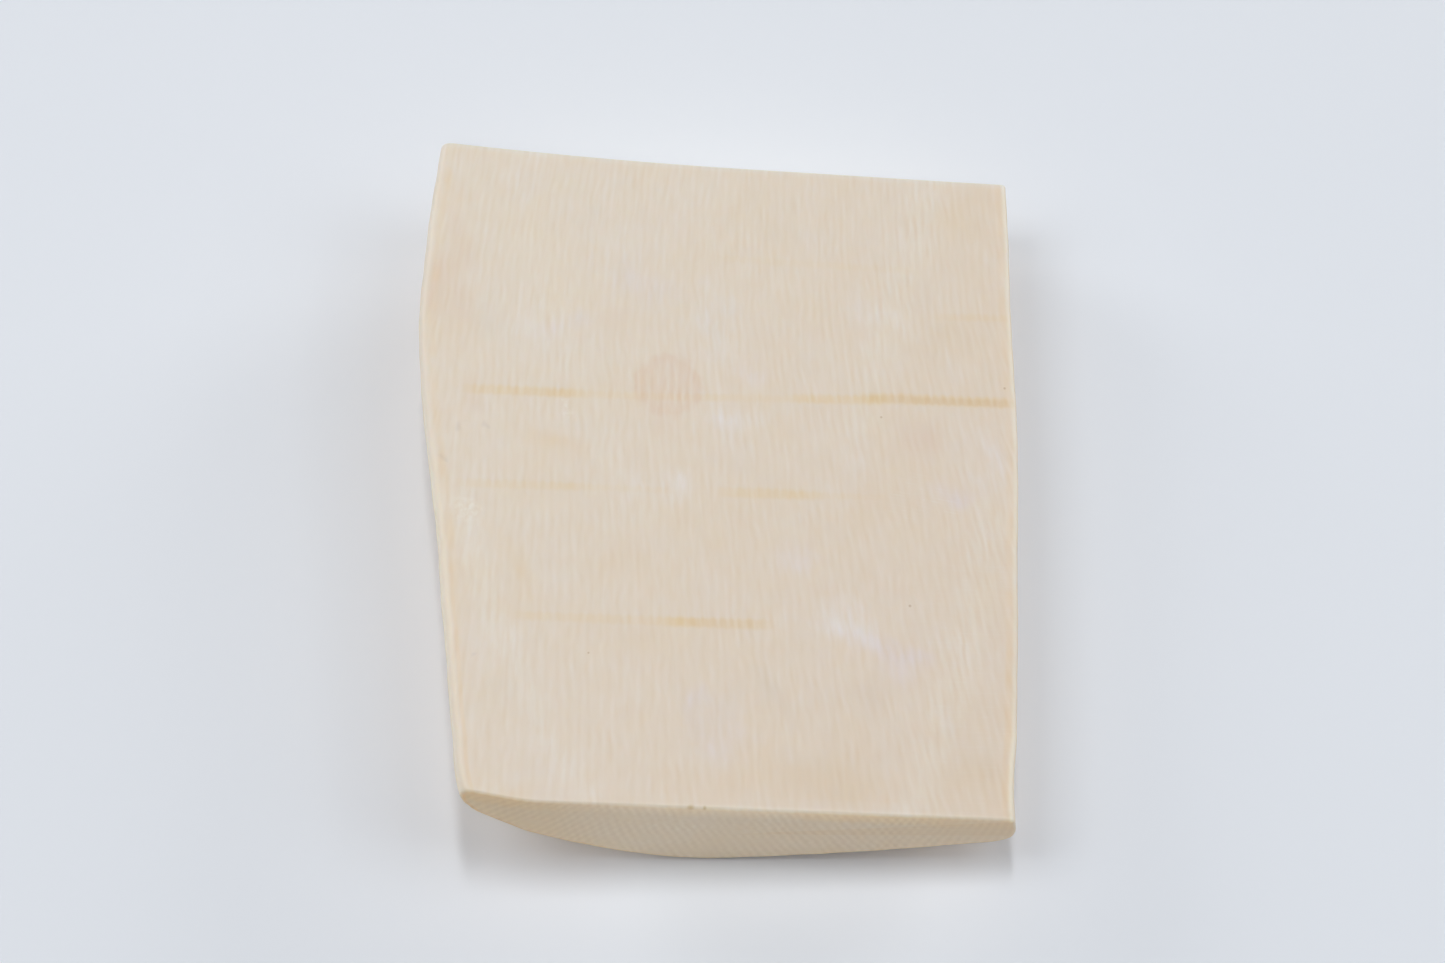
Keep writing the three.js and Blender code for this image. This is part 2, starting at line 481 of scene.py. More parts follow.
def ramp(value, start, end):
    """A soft step: 0 at start, 1 at end, 3 t^2 - 2 t^3 between; start may be the larger."""
    node = nodes.new("ShaderNodeMapRange")
    node.interpolation_type = "SMOOTHSTEP"
    for name, number in (("Value", value), ("From Min", start), ("From Max", end)):
        feed(node.inputs[name], number)
    return Term(node.outputs[0])


def band(value, middle, half, soft):
    """1 within half of the middle, falling softly to 0 over the next soft millimetres."""
    return ramp(abs(value - middle), half + soft, half)


print("words ready: sine, largest, ramp, band and the four signs")

# %% [markdown]
# ## Where a point is
# Object coordinates are metres in the frame of the record. A Mapping node turns them
# back into the piece's own millimetres, so that every marking below can be placed by a
# ruler laid on the sawn face. Noise is stretched by giving it a cell size for each axis.

# %% Coordinates in millimetres, and noise by cell size
c, s = math.cos(ROLL), math.sin(ROLL)
origin = (s * shift[2] - c * shift[0], -shift[1], -c * shift[2] - s * shift[0])
mapping = nodes.new("ShaderNodeMapping")
mapping.inputs["Scale"].default_value = (1 / MM, 1 / MM, 1 / MM)
mapping.inputs["Rotation"].default_value = (0, -ROLL, 0)
mapping.inputs["Location"].default_value = origin
links.new(nodes.new("ShaderNodeTexCoord").outputs["Object"], mapping.inputs["Vector"])
place = Term(mapping.outputs[0])


def split(vector):
    """The three parts of a vector."""
    node = nodes.new("ShaderNodeSeparateXYZ")
    feed(node.inputs[0], vector)
    return [Term(output) for output in node.outputs]


def join(*parts):
    """A vector from three parts."""
    node = nodes.new("ShaderNodeCombineXYZ")
    for socket, part in zip(node.inputs, parts):
        feed(socket, part)
    return Term(node.outputs[0])


def noise(where, cell, shift_by=0.0, detail=1.0, rough=0.5):
    """Noise of cells this many millimetres wide in x, y and z, brought to about -1..1."""
    fitted = nodes.new("ShaderNodeMapping")
    feed(fitted.inputs["Vector"], where)
    fitted.inputs["Scale"].default_value = [1 / size for size in cell]
    fitted.inputs["Location"].default_value = (shift_by, shift_by, shift_by)
    node = nodes.new("ShaderNodeTexNoise")
    links.new(fitted.outputs[0], node.inputs["Vector"])
    for name, number in (("Scale", 1.0), ("Detail", detail), ("Roughness", rough)):
        node.inputs[name].default_value = number
    return (Term(node.outputs[0]) - 0.5) * 4.0


def stored(name):
    """An attribute of the mesh."""
    node = nodes.new("ShaderNodeAttribute")
    node.attribute_name = name
    return node


px, py, pz = split(place)
under = Term(stored("skin").outputs["Fac"])
to_left, to_right, to_rear = split(Term(stored("rim").outputs["Vector"]))
on_top, on_end, on_band = split(Term(stored("faces").outputs["Vector"]))
to_front = py + HALF
print("the sawn face lies at z = 0; the lights and the camera never enter these formulas")

# %% [markdown]
# ## Grain of the sawn face
# Sawn lengthwise, ivory shows its fibres as fine wavy stripes, pale and warm by turns,
# about one and a half millimetres apart. They fan out slightly along the tusk, wander,
# and break off. One sine gives the stripes. Its coordinate runs across the fan and is
# bent by two noises, a broad one that sways neighbours together and a fine one that
# breaks the beat. Two gates then dim the stripes by region and one by one. Short flecks
# and a few rusty or frosty threads go in between.

# %% Wavy stripes and flecks
GRAIN_PERIOD, GRAIN_LEAN, FAN_RATE = 1.45, 0.064, 0.0023
REAR_BEND_Y, REAR_BEND = 15.0, 0.0016
rear_run = largest(py - REAR_BEND_Y, 0.0)
swing = py * GRAIN_LEAN - rear_run * rear_run * REAR_BEND
fanned = (px + swing) * (1 + py * FAN_RATE)
grain_place = join(fanned, py, pz)
sway = noise(grain_place, (7.0, 13.0, 7.0)) * 0.6
waver = noise(grain_place, (1.8, 3.6, 1.8), 17.0, detail=0.0) * 0.14
stripes = sine((fanned + sway + waver) * (2 * math.pi / GRAIN_PERIOD))
by_region = ramp(noise(grain_place, (6.0, 8.0, 6.0), 7.0), -1.3, 0.9)
one_by_one = ramp(noise(grain_place, (1.2, 4.0, 1.2), 27.0, detail=0.0), -0.9, 0.9)
flecks = noise(grain_place, (0.75, 4.5, 0.75), 3.0, detail=2.0)
grain = stripes * (by_region * 0.6 + 0.4) * one_by_one * 2.2 + flecks * 1.3
rust = ramp(noise(grain_place, (1.0, 7.0, 1.0), 37.0), 0.4, 1.6)
frost = ramp(noise(grain_place, (0.9, 5.0, 0.9), 47.0), 0.4, 1.6)
print("grain period in mm:", GRAIN_PERIOD)

# %% [markdown]
# ## Crossing lines of the ends
# Sawn across, the same fibres show as two sets of curved lines that cross in lozenges,
# which is how mammoth ivory is told from other ivories. They spiral about the tusk's
# axis: in polar coordinates about it, each set is a sine of a turn plus or minus a
# reach. Seldom are both sets strong at once: one leads in the middle, one at both ends.

# %% Two spirals about the tusk's axis
AXIS_X, AXIS_Z, LINES_ROUND, LINES_OUT = 1.0, 142.0, 664.0, 1.79
turn = calculate("ARCTAN2", px - AXIS_X, AXIS_Z - pz)
reach = calculate("SQRT", (px - AXIS_X) * (px - AXIS_X) + (AXIS_Z - pz) * (AXIS_Z - pz))
bend = noise(place, (6.0, 40.0, 6.0), 1.0) * 1.3 + noise(place, (1.8, 40.0, 1.8), 2.0) * 0.6
falling = sine(turn * LINES_ROUND - reach * LINES_OUT + bend)
rising = sine(turn * LINES_ROUND + reach * LINES_OUT + bend)
falling_share = ramp(px, -26.0, -14.0) * ramp(px, 36.0, 24.0)
rising_share = ramp(px, -12.0, -22.0) + ramp(px, 18.0, 30.0)
lozenges = falling * (falling_share * 0.75 + 0.3) + rising * (rising_share * 0.7 + 0.3)
lozenges = lozenges * ramp(noise(place, (4.0, 40.0, 2.5), 5.0), -1.4, 0.7)
print("line spacing round the tusk, mm:", round(2 * math.pi * (AXIS_Z + 10) / LINES_ROUND, 2))

# %% [markdown]
# ## Colour in glazes
# The paint is built as a varnisher would: a cream ground, then thin glazes. A glaze
# multiplies what is under it by a colour close to white, and its share says how thick
# it lies. Ivory's red hardly changes over the face; what changes is how much green and
# blue it keeps, so a warm glaze lowers those two and a cool one, above 1, lifts them.

# %% The ground, clouds and shading across the face, partly painted light
PALER_LEFT_LIGHT_AND_TONE = (1.03, 1.07, 1.09)
PALER_REAR_LIGHT_AND_TONE = (1.04, 1.04, 1.04)
CLOUD = (1.0, 1.035, 1.12)
DRIFT = (1.0, 1.03, 1.08)
LIGHTER = (1.03, 1.045, 1.05)
CREAM = (0.82, 0.72, 0.604)


def glaze(paint, colour, share):
    """Multiply by a colour: paint * (1 + share * (colour - 1)); the share may be negative."""
    node = nodes.new("ShaderNodeMix")
    node.data_type = "RGBA"
    node.blend_type = "MULTIPLY"
    node.clamp_factor = False
    factor, first, second = node.inputs[0], node.inputs[6], node.inputs[7]
    feed(factor, share)
    feed(first, paint if isinstance(paint, Term) else (*paint, 1))
    feed(second, (*colour, 1))
    return Term(node.outputs[2])


# Paler towards the left and rear, darker and warmer towards the right and front: partly the ivory's own
# tone, partly painted light for the way light falls across the face.
light_and_tone_across = ramp(px - py * 0.7, 95.0, -95.0) - 0.5
paint = glaze(CREAM, PALER_LEFT_LIGHT_AND_TONE, light_and_tone_across)
paint = glaze(paint, PALER_REAR_LIGHT_AND_TONE, ramp(py, -70.0, 70.0) - 0.5)
clouds = noise(place, (11.0, 17.0, 11.0), 2.0, detail=2.0, rough=0.6)
paint = glaze(paint, CLOUD, clouds * 0.3)
drift = noise(place, (3.2, 5.0, 3.2), 9.0, detail=2.0, rough=0.6)
paint = glaze(paint, DRIFT, drift * 0.3)
tone = noise(place, (4.0, 6.0, 4.0), 61.0)
paint = glaze(paint, LIGHTER, tone * 0.22)
print("ground and clouds laid")

# %% [markdown]
# ## Hazes and warm patches
# On top of the drifting clouds, some patches are this piece's own: bluish hazes where
# the ivory has bleached, warm ones where it has kept its oil. Each is a soft oval, set
# down by ruler as place, size, tilt and share. One noise bends the coordinates of them
# all, so that no oval looks drawn with a compass.

# %% Soft ovals on bent coordinates
def bent(where, cell, far):
    """The place moved sideways by a noise: place + (noise - 0.5) * 2 * far, in x, y and z."""
    node = nodes.new("ShaderNodeTexNoise")
    node.inputs["Scale"].default_value = 1 / cell
    node.inputs["Detail"].default_value = 0.0
    feed(node.inputs["Vector"], where)
    push = nodes.new("ShaderNodeVectorMath")
    push.operation = "MULTIPLY_ADD"
    links.new(node.outputs["Color"], push.inputs[0])
    push.inputs[1].default_value = (2 * far, 2 * far, 2 * far)
    push.inputs[2].default_value = (-far, -far, -far)
    moved = nodes.new("ShaderNodeVectorMath")
    moved.operation = "ADD"
    feed(moved.inputs[0], where)
    links.new(push.outputs[0], moved.inputs[1])
    return Term(moved.outputs[0])


def oval(where, middle, size, tilt=0.0, edge=1.0, deep=20.0):
    """A soft oval: 1 in its middle, 0 from its rim on; edge is the soft part of its radius."""
    node = nodes.new("ShaderNodeMapping")
    node.vector_type = "TEXTURE"
    feed(node.inputs["Vector"], where)
    node.inputs["Location"].default_value = (*middle, 0)
    node.inputs["Rotation"].default_value = (0, 0, math.radians(tilt))
    node.inputs["Scale"].default_value = (*size, deep)
    ball = nodes.new("ShaderNodeTexGradient")
    ball.gradient_type = "SPHERICAL"
    links.new(node.outputs[0], ball.inputs[0])
    return ramp(Term(ball.outputs["Fac"]), 0.0, edge)


def spread(where, ovals):
    """Several soft ovals in one share: the sum of share * oval."""
    shares = [oval(where, *one) * share for *one, share in ovals]
    return sum(shares[1:], shares[0])


LOOSE_CELL, LOOSE_FAR = 7.0, 5.0
loose = bent(place, LOOSE_CELL, LOOSE_FAR)
on_face = on_top * ramp(pz, -1.0, -0.2)
streaky = flecks * 0.35 + drift * 0.3 + 1.0
print("the ovals lie on coordinates bent by", LOOSE_FAR, "mm at the very most")

# %% Bleached hazes and lavender ones
BLEACH = (1.008, 1.025, 1.06)
LAVENDER = (0.994, 1.0, 1.05)
bleached = spread(loose, [
    ((-1, 27), (6, 11), 15, 1.1), ((1, 9), (6, 5), 0, 2.8), ((4, 18), (4, 5), 0, 1.1),
    ((21, 5), (5, 5), 0, 0.8), ((-14, -5), (4.5, 5), 0, 0.6), ((-8, -2), (5, 5), 0, 2.2),
    ((25.5, 29.5), (7.5, 6), 0, 1.0), ((42.5, 5), (4, 9), 0, 2.0), ((19.5, -24.5), (8.5, 4.5), -10, 3.0),
    ((-30, 27), (5, 9), 0, 0.8), ((-39, -11), (4, 6), 10, 1.0), ((12, -13), (5, 4), 0, 0.8),
    ((37, -28), (5, 6), 0, 0.7), ((8, -24), (5, 4), 0, 0.7), ((-25, 11), (3, 3), 0, 0.9),
    ((38, -10), (4, 4), 0, 0.4), ((35, 52), (6, 4), 0, 0.4), ((-23, -51), (7, 5), 0, 0.9),
    ((-34, -30), (5, 9), 15, 1.0), ((-3, -40), (3, 6), 0, 0.5),
])
paint = glaze(paint, BLEACH, bleached * streaky * on_face)
lavender = spread(loose, [
    ((-13, 34), (9, 7), 20, 0.8), ((36.5, -2.5), (7, 4), 20, 1.9), ((25.5, -30), (9, 4.5), -45, 2.1),
    ((-3, -40), (3.5, 7), 10, 1.5), ((12.5, -13), (6, 4), -35, 0.8), ((-33, 50), (4, 5), 0, 0.6),
    ((-24, 26), (4, 5), 0, 1.1), ((5, 19), (4, 5), 0, 0.7), ((34, -42), (3.5, 6), 10, 0.5),
    ((1, -46), (4, 5), 0, 0.8),
])
paint = glaze(paint, LAVENDER, lavender * streaky * on_face)
print("hazes laid")

# %% Golden, rusty and dull patches
GOLD = (0.996, 0.978, 0.945)
RUST = (0.985, 0.958, 0.945)
DULL = (0.975, 0.98, 0.985)
golden = spread(loose, [
    ((-26, 4), (6, 4), 0, 2.2), ((-31, -18), (5, 8), 15, 2.4), ((-32, -55), (7, 3.5), 0, 1.6),
    ((-19, -55), (10, 3), 0, 0.8), ((-15, -17), (6, 7), 0, 1.0), ((-12, -29), (7, 6), 0, 0.9),
    ((41, 50), (8, 7), 0, 0.9), ((16, 30), (7, 7), 0, 0.5), ((36, 25), (7, 5), 0, 0.6),
    ((15, -52), (17, 5), 0, 1.3), ((38, -50), (12, 9), 0, 1.2), ((18, -46), (9, 7), 10, 0.9),
    ((-3, -52), (14, 5), 0, 0.9), ((16.5, -50), (10, 5), 0, 0.7), ((-2, -10), (6, 4), 0, 0.6),
])
paint = glaze(paint, GOLD, golden * streaky * on_face)
rusty = spread(loose, [
    ((-43.5, 34), (5.5, 18), 0, 1.1), ((-43, 30), (4, 7), 0, 0.8), ((31, 7), (6, 9), 0, 1.4),
    ((24, -2), (4, 4), 0, 0.4), ((-39, 13), (4, 4), 0, 0.7), ((-17, 26), (4, 4), 0, 0.6),
    ((22, -37), (7, 5), 0, 0.5), ((17, -20), (3, 3), 0, 0.4),
])
paint = glaze(paint, RUST, rusty * streaky * on_face)
dull = spread(loose, [
    ((6, -37), (6, 6), 0, 1.7), ((17, -49), (12, 8), 0, 0.9), ((38, -47), (10, 10), 0, 0.9),
    ((-13, 34), (9, 6), 0, 0.6), ((8, 44), (6, 4), 0, 0.7), ((-38, 27), (5, 5), 0, 1.4),
    ((22, -37), (7, 6), 0, 1.1), ((34, 25), (6, 5), 0, 0.7), ((-2, -42), (5, 8), 0, 0.9),
    ((-1, 27), (5, 7), 0, 0.8), ((30, 34), (6, 5), 0, 0.6), ((-36, -40), (4, 5), 0, 0.8),
    ((-22, 44), (5, 5), 0, 0.5),
])
paint = glaze(paint, DULL, dull * on_face)
print("warm and dull patches laid")

# %% [markdown]
# ## Growth bands
# A tusk grows as cones stacked in each other. A lengthwise cut shows the cones' walls as
# faint pale bands that close in on each other towards the front. Each is a curve x(y) of
# the second degree, and the band is drawn where the distance from it is small.

# %% Curved pale bands
CONE_PALE = (1.016, 1.04, 1.051)
def cone_wall(start, slope, bow, length, half, soft):
    """Band round x = x0 + slope * run + bow * run^2, where run = y0 - y goes from 0 to length."""
    run = start[1] - py
    across = px - start[0] - run * slope - run * run * bow + drift * 0.6
    return band(across, 0.0, half, soft) * band(run, length / 2, length / 2, 6.0)


walls = cone_wall((-40, -8), 0.2, 0.0047, 47, 0.6, 3.0) * 0.7
walls = walls + cone_wall((43, -5), -0.23, -0.001, 50, 1.2, 3.6) * 0.9
walls = walls + cone_wall((-33, 54), 0.1, 0.004, 60, 0.6, 3.2) * 0.35
walls = walls + cone_wall((34, 56), -0.26, 0.0, 46, 1.0, 3.6) * 0.8
in_strands = ramp(grain + drift, -3.0, 2.0)
paint = glaze(paint, CONE_PALE, walls * in_strands * on_face)
print("growth bands laid")

# %% The grain itself
STRIPE_PALE = (1.009, 1.0155, 1.027)
THREAD_WARM = (0.995, 0.975, 0.945)
THREAD_COOL = (1.0, 1.015, 1.045)
paint = glaze(paint, STRIPE_PALE, grain * on_top)
paint = glaze(paint, THREAD_WARM, rust * on_top)
paint = glaze(paint, THREAD_COOL, frost * on_top)
print("grain laid")

# %% [markdown]
# ## Stains and marks
# Three thin yellow lines cross the face, a pinkish spot shows near the middle, and small
# marks are scattered over the rest. They make it this piece and no other. Each line is
# set down as start, end, half width, soft width and share. A stain soaks in along the
# grain, so its share is broken up by the grain's own stripes.

# %% Yellow lines
LINE_YELLOW = (0.997, 0.95, 0.835)
LINE_BROWN = (0.955, 0.92, 0.87)
def trace(where, start, end, half, soft, taper=5.0):
    """A straight streak: the distance across it is small, and the place lies between its ends."""
    (x0, y0), (x1, y1) = start, end
    length = math.hypot(x1 - x0, y1 - y0)
    ux, uy = (x1 - x0) / length, (y1 - y0) / length
    wx, wy, _ = where
    along = wx * ux + wy * uy
    across = wy * ux - wx * uy
    return (band(across, y0 * ux - x0 * uy, half, soft)
            * band(along, x0 * ux + y0 * uy + length / 2, length / 2, taper))


def laid(lines):
    """Several streaks in one share: the sum of share * trace."""
    shares = [trace(on_grain, *line) * share for *line, share in lines]
    return sum(shares[1:], shares[0])


on_grain = (px, py + stripes * 0.1 + waver * 0.3, pz)
soaked = ramp(grain + noise(place, (3.0, 2.0, 3.0), 4.0) * 1.2, 2.2, -1.6) * 0.3 + 0.7
yellow = laid([
    ((-37.5, 12.7), (-25.5, 12.8), 0.35, 0.85, 1.1), ((-25.0, 12.6), (-2.0, 13.1), 0.2, 0.8, 0.5),
    ((-1.0, 13.3), (14.0, 13.7), 0.2, 0.8, 0.4), ((14.0, 13.9), (23.0, 14.1), 0.35, 0.8, 1.0),
    ((25.0, 14.6), (43.5, 14.8), 0.45, 0.85, 1.25), ((-38.0, -3.8), (-24.0, -3.6), 0.3, 0.8, 0.55),
    ((-24.0, -3.6), (-10.0, -3.5), 0.2, 0.6, 0.3), ((3.0, -3.3), (12.5, -3.2), 0.4, 0.85, 0.9),
    ((12.5, -3.2), (22.0, -3.0), 0.2, 0.6, 0.35),
    ((-29.0, -25.9), (-6.0, -25.8), 0.3, 0.8, 0.6), ((-6.0, -25.8), (4.5, -25.7), 0.4, 0.85, 1.0),
    ((2.0, 38.6), (28.0, 38.2), 0.2, 0.8, 0.25), ((37.5, 30.0), (44.0, 30.2), 0.2, 0.8, 0.5),
])
paint = glaze(paint, LINE_YELLOW, yellow * soaked * on_face)
brown = laid([
    ((25.0, 14.5), (43.5, 14.7), 0.3, 0.6, 0.6), ((-30.0, 12.6), (-25.5, 12.7), 0.25, 0.8, 0.3),
    ((33.0, 14.4), (42.5, 14.6), 0.2, 0.6, 0.4), ((-4.0, -25.8), (3.5, -25.7), 0.25, 0.8, 0.35),
])
paint = glaze(paint, LINE_BROWN, brown * soaked * on_face)
print("yellow lines laid")

# %% Spot, whitish marks and dots
SPOT_PINK = (0.987, 0.947, 0.928)
CHIP_WHITE = (1.045, 1.08, 1.11)
DOT_GREY = (0.93, 0.93, 0.95)
PIT_BROWN = (0.8, 0.74, 0.66)
SPOT_MIDDLE = (-8.6, 14.9)
ruffled = bent(place, 1.6, 0.9)
spot = oval(ruffled, SPOT_MIDDLE, (6.2, 6.2), 0, 0.25)
spot_rim = spot * (1 - oval(ruffled, SPOT_MIDDLE, (5.3, 5.3), 0, 0.5))
spot_tail = oval(ruffled, (-9.6, 8.8), (2.2, 4.0), 0, 0.9)
spot_share = spot * (0.85 - grain * 0.22 + drift * 0.2) + spot_rim * 0.4 + spot_tail * 0.5
paint = glaze(paint, SPOT_PINK, spot_share * on_face)

whitish = oval(ruffled, (-24.6, 10.6), (1.0, 3.6), 8, 0.8)
whitish = whitish + oval(ruffled, (-39.6, -8.4), (3.7, 3.0), -25, 0.7)
crumbled = ramp(noise(place, (0.9, 0.9, 0.9), 6.0), -0.5, 0.7)
paint = glaze(paint, CHIP_WHITE, whitish * crumbled * on_face)

grey_dots = [((-41.2, 6.1), 1.1), ((-37.0, 6.4), 0.9), ((-43.3, 0.2), 1.0), ((-37.5, -32.7), 0.9)]
for middle, radius in grey_dots:
    paint = glaze(paint, DOT_GREY, oval(ruffled, middle, (radius, radius)) * on_face)
pit_places = [((25.1, 11.2), 0.26), ((45.0, 17.5), 0.28), ((28.9, -21.4), 0.3), ((-20.4, -31.6), 0.22)]
pits = [oval(place, middle, (radius, radius), 0, 0.6) for middle, radius in pit_places]
pits = sum(pits[1:], pits[0]) * on_face
paint = glaze(paint, PIT_BROWN, pits)
print("spot, whitish marks and dots laid")

# %% [markdown]
# ## Scratches
# Sanding leaves its own hatch. Down the right side fine straight marks run across the
# grain, and one brush of pale scratches slants beside the middle. A hatch is a sine
# across its lines, cut to thin strokes by a ramp and broken by a noise stretched along.

# %% Two hatches of fine lines
SCRATCH_PALE = (1.017, 1.04, 1.07)
def hatch(lean, spacing, seed):
    """Thin broken strokes: a ramp over sin(2 pi (y + lean * x) / spacing), gated by noise."""
    across = py + px * lean + noise(place, (9.0, 3.0, 9.0), seed, detail=0.0) * 0.12
    strokes = ramp(sine(across * (2 * math.pi / spacing)), 0.1, 1.0)
    return strokes * ramp(noise(place, (3.5, 0.9, 3.5), seed + 1.0), -0.3, 0.9)


brushed = hatch(0.16, 0.62, 31.0) * oval(loose, (34, -4), (13, 4.6), -6, 0.7)
sanded = hatch(-0.01, 0.82, 41.0) * ramp(px, 26.0, 36.0) * ramp(py, -4.0, -14.0)
scratches = brushed + sanded * 0.6
paint = glaze(paint, SCRATCH_PALE, (scratches - sanded * 0.15) * on_face)
print("scratches laid")

# %% [markdown]
# ## Ends, outer layer and back
# The ends drink more oil than the face, so they are tanner, most of all along their
# upper edge; their tan glaze also lifts red, which is painted light that brightens the
# front cut, which the lamps leave in half shade. The tusk's outer layer is yellow-orange
# and less than a millimetre thick: where a cut meets the natural surface it shows as a thin
# line. Over the whole back it is a streaked, mottled bark, polished through in places.

# %% Tan ends and crossing lines
END_TAN_AND_LIGHT = (1.055, 0.985, 0.838)
LOZENGE_PALE = (1.035, 1.045, 1.06)
TANNER = (0.965, 0.912, 0.815)
MIDDLE_PALE = (1.025, 1.03, 1.045)
EDGE_LIT = (1.13, 1.11, 1.08)
EDGE_OILY = (1.015, 0.98, 0.89)
NICK_BROWN = (0.74, 0.66, 0.46)
# Tan ends: the end grain's own warmer colour, with painted light in the red lift, which brightens the
# half-shaded front cut.
paint = glaze(paint, END_TAN_AND_LIGHT, on_end)
paint = glaze(paint, LOZENGE_PALE, lozenges * 0.9 * on_end)
paint = glaze(paint, TANNER, ramp(px, -8.0, -36.0) * on_end)
paint = glaze(paint, MIDDLE_PALE, band(px, 2.0, 14.0, 14.0) * on_end)
below_edge = ramp(pz, -4.2, -0.3) * (band(px, 8.0, 14.0, 16.0) * 0.7 + 0.3)
paint = glaze(paint, EDGE_LIT, below_edge * on_end)
ragged = noise(place, (0.9, 40.0, 3.0), 19.0) * 0.5
upper_edge = ramp(pz + ragged, -4.2, -2.2)
upper_edge = upper_edge * (ramp(px, -16.0, -30.0) + band(px, 24.0, 8.0, 7.0) + ramp(px, 30.0, 44.0) * 0.4)
paint = glaze(paint, EDGE_OILY, upper_edge * on_end)
nicks = [((-4.8, -HALF), (0.85, 0.8)), ((-2.7, -HALF), (0.45, 0.7))]
for middle, size in nicks:
    paint = glaze(paint, NICK_BROWN, oval(place, middle, size, deep=1.0))
print("ends laid")

# %% Outer layer and bark
LAYER_YELLOW = (1.0, 0.90, 0.70)
BARK = (0.98, 0.76, 0.46)
BARK_MOTTLE = (0.92, 0.84, 0.72)
BARK_STREAK = (0.70, 0.56, 0.40)
SIDE_TAN = (0.985, 0.955, 0.90)
SIDE_LAYERS = (1.012, 1.024, 1.04)
outer_layer = ramp(under + noise(place, (3.0, 3.0, 3.0), 6.0) * 0.2, 1.0, 0.3)
outer_layer = outer_layer * (0.55 + 0.45 * ramp(px, 0.0, -18.0)) * (0.2 + 0.8 * on_end)
paint = glaze(paint, LAYER_YELLOW, outer_layer)
streaks = noise(place, (1.6, 26.0, 1.6), 8.0, detail=3.0, rough=0.6)
mottle = noise(place, (9.0, 16.0, 9.0), 11.0, detail=3.0, rough=0.6)
down_side = pz + ragged * 1.6 + ramp(px, 25.0, 44.0) * 3.2
bark = ramp(under, 0.35, 0.05) * (1 - on_top) * (1 - on_end * 0.6) * ramp(down_side, -2.6, -6.0)
paint = glaze(paint, BARK, bark)
paint = glaze(paint, BARK_MOTTLE, bark * ramp(mottle + streaks * 0.6, -0.8, 1.4))
paint = glaze(paint, BARK_STREAK, bark * ramp(streaks + mottle * 0.4, 0.6, 2.2) * 0.8)
layers = noise(place, (30.0, 17.0, 0.55), 71.0, detail=2.0, rough=0.6)
paint = glaze(paint, SIDE_TAN, on_band * (1 - bark))
paint = glaze(paint, SIDE_LAYERS, layers * on_band * (1 - bark))
print("outer layer and bark laid")

# %% [markdown]
# ## Edges
# Handling rubs the arrises pale. The pale bands along them also carry a painted
# highlight, the light their rounding catches. At the left, the outermost rim is painted
# light that cancels the shade it gets as it turns down. Just inside the arrises a warm seam
# is painted as a glow, where thin ivory lets light through. All are lines of a few
# tenths of a millimetre that follow the rims, so their shares come from the stored
# distances, where a pattern on coordinates would have to find the rims again.

# %% Edge tints, painted highlights and painted glow
WARM_SEAM_PAINTED_GLOW = (1.0, 0.965, 0.90)
LEFT_RIM_PAINTED_LIGHT = (1.11, 1.115, 1.10)
LEFT_FACET_WEAR_AND_HIGHLIGHT = (1.05, 1.06, 1.05)
RIGHT_LIP_WEAR_AND_HIGHLIGHT = (1.055, 1.11, 1.12)
CORNER_LIP_WEAR_AND_HIGHLIGHT = (1.09, 1.13, 1.14)
RIGHT_PALE_WEAR_AND_HIGHLIGHT = (1.02, 1.015, 1.01)
RIGHT_SEAM_PAINTED_GLOW = (1.0, 0.945, 0.84)
REAR_RIM_WEAR_AND_HIGHLIGHT = (1.0, 1.045, 1.09)
FRONT_RIM_WEAR_AND_HIGHLIGHT = (1.025, 1.05, 1.07)
FRONT_LIP_WEAR_AND_HIGHLIGHT = (1.0, 1.01, 1.03)
patchy = ramp(noise(place, (3.0, 5.0, 3.0), 13.0), -1.2, 0.8)
# Painted glow: a warm seam inside the left arris, standing in for light through thin ivory.
left_painted_glow = band(to_left, 2.0, 0.2, 0.8) * patchy * ramp(py, -45.0, -10.0) * on_top
paint = glaze(paint, WARM_SEAM_PAINTED_GLOW, left_painted_glow)
on_left_arris = (1 - on_end) * ramp(pz, -3.0, -2.2)
# Painted light: the outermost half millimetre of the left arris is lightened to cancel the shade it gets
# where it turns down.
left_rim_painted_light = ramp(to_left, 0.5, 0.0) * on_left_arris * (0.4 + 0.6 * ramp(py, 30.0, 0.0))
paint = glaze(paint, LEFT_RIM_PAINTED_LIGHT, left_rim_painted_light)
# Left facet: rubbed pale, and also a painted highlight where the arris catches the light.
left_facet_wear_and_highlight = ramp(to_left, 1.4, 0.9) * on_left_arris * ramp(py, 16.0, -10.0)
paint = glaze(paint, LEFT_FACET_WEAR_AND_HIGHLIGHT, left_facet_wear_and_highlight)
# Painted glow: a thin warm line just inside the left arris, standing in for light through thin ivory.
left_seam_painted_glow = band(to_left, 1.7, 0.1, 0.4) * ramp(py, -6.0, -40.0) * on_top
paint = glaze(paint, WARM_SEAM_PAINTED_GLOW, left_seam_painted_glow)
# Right lip, corner lip and paler strip: rubbed pale, and also a painted highlight along the right arris.
right_lip_wear_and_highlight = ramp(to_right, 1.15, 0.5) * on_top
paint = glaze(paint, RIGHT_LIP_WEAR_AND_HIGHLIGHT, right_lip_wear_and_highlight)
corner_lip_wear_and_highlight = ramp(to_right, 1.5, 0.7) * ramp(py, -34.0, -50.0) * on_top
paint = glaze(paint, CORNER_LIP_WEAR_AND_HIGHLIGHT, corner_lip_wear_and_highlight)
paint = glaze(paint, RIGHT_PALE_WEAR_AND_HIGHLIGHT, ramp(to_right, 3.5, 0.8) * on_top)
# Painted glow: a warm seam inside the right arris, standing in for light through thin ivory.
right_painted_glow = band(to_right, 1.5, 0.2, 0.6) * patchy * on_top
paint = glaze(paint, RIGHT_SEAM_PAINTED_GLOW, right_painted_glow * (0.35 + 0.45 * ramp(py, 10.0, -50.0)))
